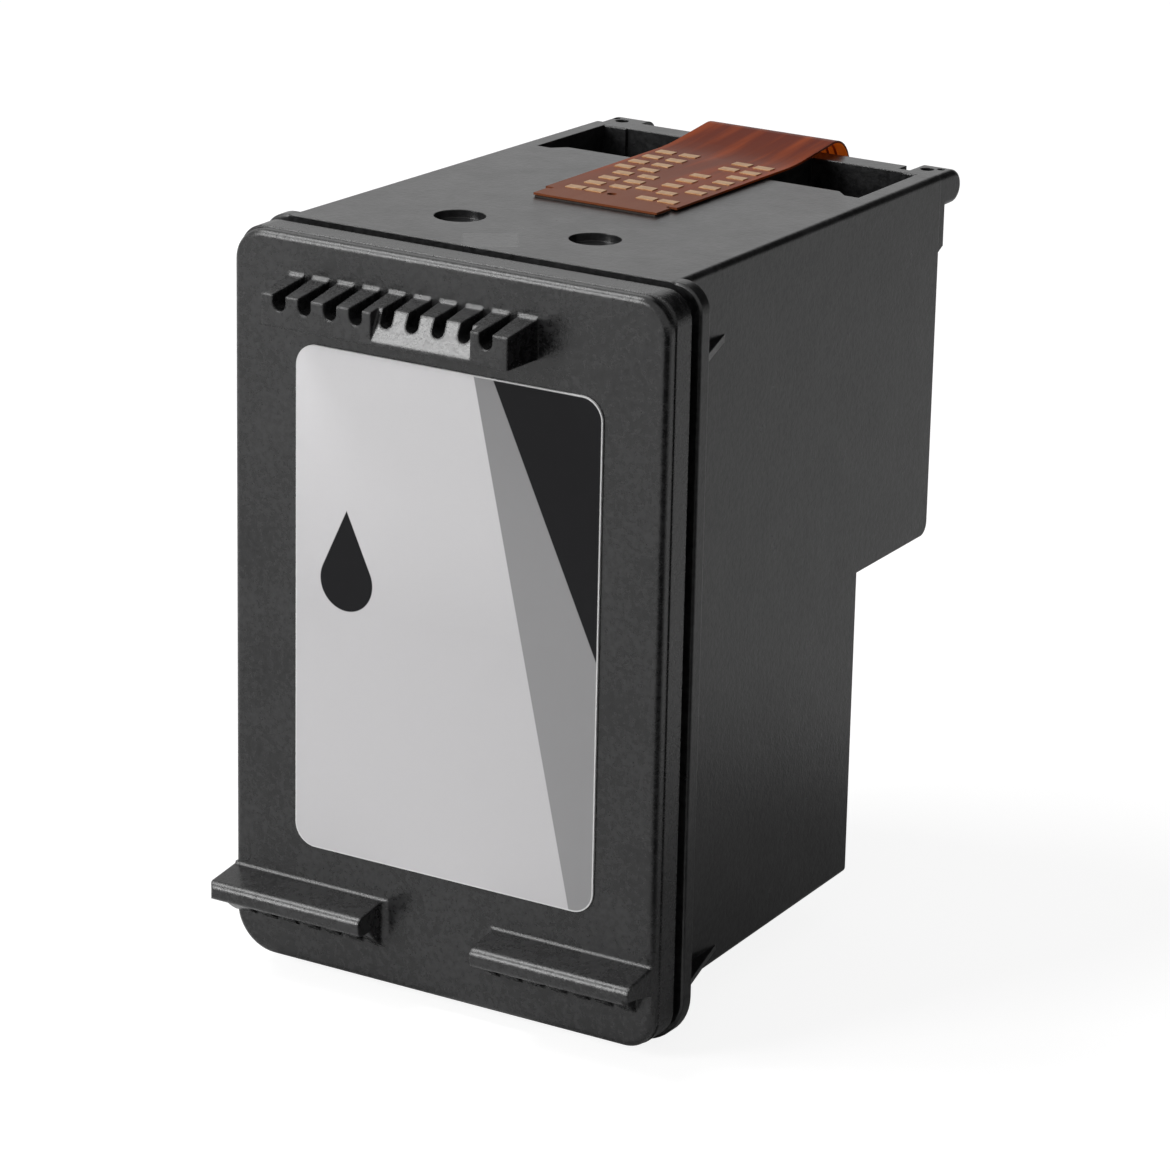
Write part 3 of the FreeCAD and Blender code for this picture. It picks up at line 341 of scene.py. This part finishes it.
WIRE_PITCH = 0.12
mesh_finish = Finish("mesh_steel", Metallic=1.0)
x, y, z = mesh_finish.place.parts()
weave = (x * (math.tau / WIRE_PITCH)).sine() * (z * (math.tau / WIRE_PITCH)).sine()
mesh_finish.paint(Base_Color=weave.between((0.25, 0.25, 0.26), (0.62, 0.62, 0.63)))
mesh_finish.paint(Roughness=weave.between(0.5, 0.3))
mesh_finish.emboss(weave, 0.00003)
mesh_finish.cover("filter_screen")

plug_finish = Finish("plug_rubber")
bloom = plug_finish.place.grain(1.6, 3.0)
plug_finish.paint(Base_Color=bloom.between((0.018, 0.018, 0.019), (0.035, 0.035, 0.036)))
plug_finish.paint(Roughness=bloom.between(0.6, 0.8))
plug_finish.cover("fill_plug")

# Floor: a pale sweep far larger than the frame, which the camera sees white with a light shadow of the cartridge.
# A patch of painted shade, seen by the cartridge but not by the camera, darkens the floor at its front right.

FLOOR_HALF = 3.0
FLOOR_GREY = 0.90
PAINTED_SHADE_DARKNESS = 0.94
SHADOW_SHARE = 0.28
floor_mesh = bpy.data.meshes.new("floor")
corners = [(FLOOR_HALF * a, FLOOR_HALF * b, 0.0) for a, b in ((-1, -1), (1, -1), (1, 1), (-1, 1))]
floor_mesh.from_pydata(corners, [], [(0, 1, 2, 3)])
floor = bpy.data.objects.new("floor", floor_mesh)
bpy.context.collection.objects.link(floor)
floor_finish = Finish("floor_paper", Roughness=1.0, Specular_IOR_Level=0.0)
x, y, z = floor_finish.place.parts()
seen = x.node("ShaderNodeLightPath", {}, {}, "Is Camera Ray")
# Painted shade: the floor colour darkens at the cartridge's front right for every ray except the camera's.
painted_shade_patch = x.above(32.0, 12.0) * y.below(0.0, 30.0)
grey = (1 - painted_shade_patch * PAINTED_SHADE_DARKNESS) * FLOOR_GREY
cloud = floor_finish.place.grain(0.004, 2.0)
floor_finish.paint(Base_Color=seen.between(grey, cloud.between([FLOOR_GREY] * 3, [FLOOR_GREY + 0.01] * 3)))
white = x.node("ShaderNodeEmission", {}, {"Strength": 1.22})
lit = Signal(floor_finish.tree, floor_finish.surface.outputs[0])
blend = x.node("ShaderNodeMixShader", {}, {0: seen * (1 - SHADOW_SHARE), 1: lit, 2: white})
floor_finish.tree.links.new(blend.socket, floor_finish.tree.nodes["Material Output"].inputs["Surface"])
floor_mesh.materials.append(floor_finish.material)

# Studio: a white room, darker to the right behind the cartridge, with two soft boxes at the left. The boxes put the
# twin bright lines on every edge that runs across the lid.

AMBIENT = 0.32
MIRRORED = 0.80
DARK_ZONE = Vector((0.36, 0.78, 0.52)).normalized()
SOFT_BOXES = (((-0.49, -0.22, 0.84), 0.62, 0.23, 12.0), ((-0.49, -0.80, 0.36), 0.62, 0.20, 17.0))
world = bpy.data.worlds.new("studio")
bpy.context.scene.world = world
world.use_nodes = True
direction = Signal(world.node_tree, world.node_tree.nodes.new("ShaderNodeTexCoord").outputs["Generated"])
both = {0: direction, 1: DARK_ZONE}
toward_dark = direction.node("ShaderNodeVectorMath", {"operation": "DOT_PRODUCT"}, both, "Value")
glossy = direction.node("ShaderNodeLightPath", {}, {}, "Is Glossy Ray")
through = direction.node("ShaderNodeLightPath", {}, {}, "Is Transmission Ray")
camera_ray = direction.node("ShaderNodeLightPath", {}, {}, "Is Camera Ray")
room = glossy.most(through).between(AMBIENT, MIRRORED) * toward_dark.above(0.81, 0.08).between(1.0, 0.03)
background = world.node_tree.nodes["Background"]
background.inputs["Color"].default_value = (1.0, 1.0, 1.0, 1.0)
world.node_tree.links.new(camera_ray.most(room).socket, background.inputs["Strength"])
middle = Vector((0, 0, 0.03))
for number, (toward, distance, size, brightness) in enumerate(SOFT_BOXES):
    box_light = bpy.data.lights.new(f"soft_box_{number}", "AREA")
    box_light.shape = "SQUARE"
    box_light.size = size
    box_light.energy = brightness * math.pi * size * size
    lamp = bpy.data.objects.new(f"soft_box_{number}", box_light)
    lamp.location = middle + Vector(toward).normalized() * distance
    lamp.rotation_euler = Vector(toward).to_track_quat("Z", "Y").to_euler()
    lamp.visible_camera = False
    bpy.context.collection.objects.link(lamp)

# Camera: a little above the cartridge and to its right, with a long lens.

AZIMUTH, ELEVATION, ROLL = math.radians(31.09), math.radians(18.49), math.radians(1.18)
level = math.cos(ELEVATION)
back = Vector((math.sin(AZIMUTH) * level, -math.cos(AZIMUTH) * level, math.sin(ELEVATION)))
right = Vector((math.cos(AZIMUTH), math.sin(AZIMUTH), 0))
up = back.cross(right)
side = right * math.cos(ROLL) + up * math.sin(ROLL)
top = up * math.cos(ROLL) - right * math.sin(ROLL)
camera_data = bpy.data.cameras.new("camera")
camera_data.sensor_width = 36
camera_data.lens = 36 * 4947.9 / 1170
camera = bpy.data.objects.new("camera", camera_data)
camera.matrix_world = Matrix((side, top, back)).transposed().to_4x4()
camera.location = Vector((0.16907, -0.283025, 0.13523))
bpy.context.collection.objects.link(camera)
bpy.context.scene.camera = camera
bpy.context.scene.view_settings.view_transform = "Standard"
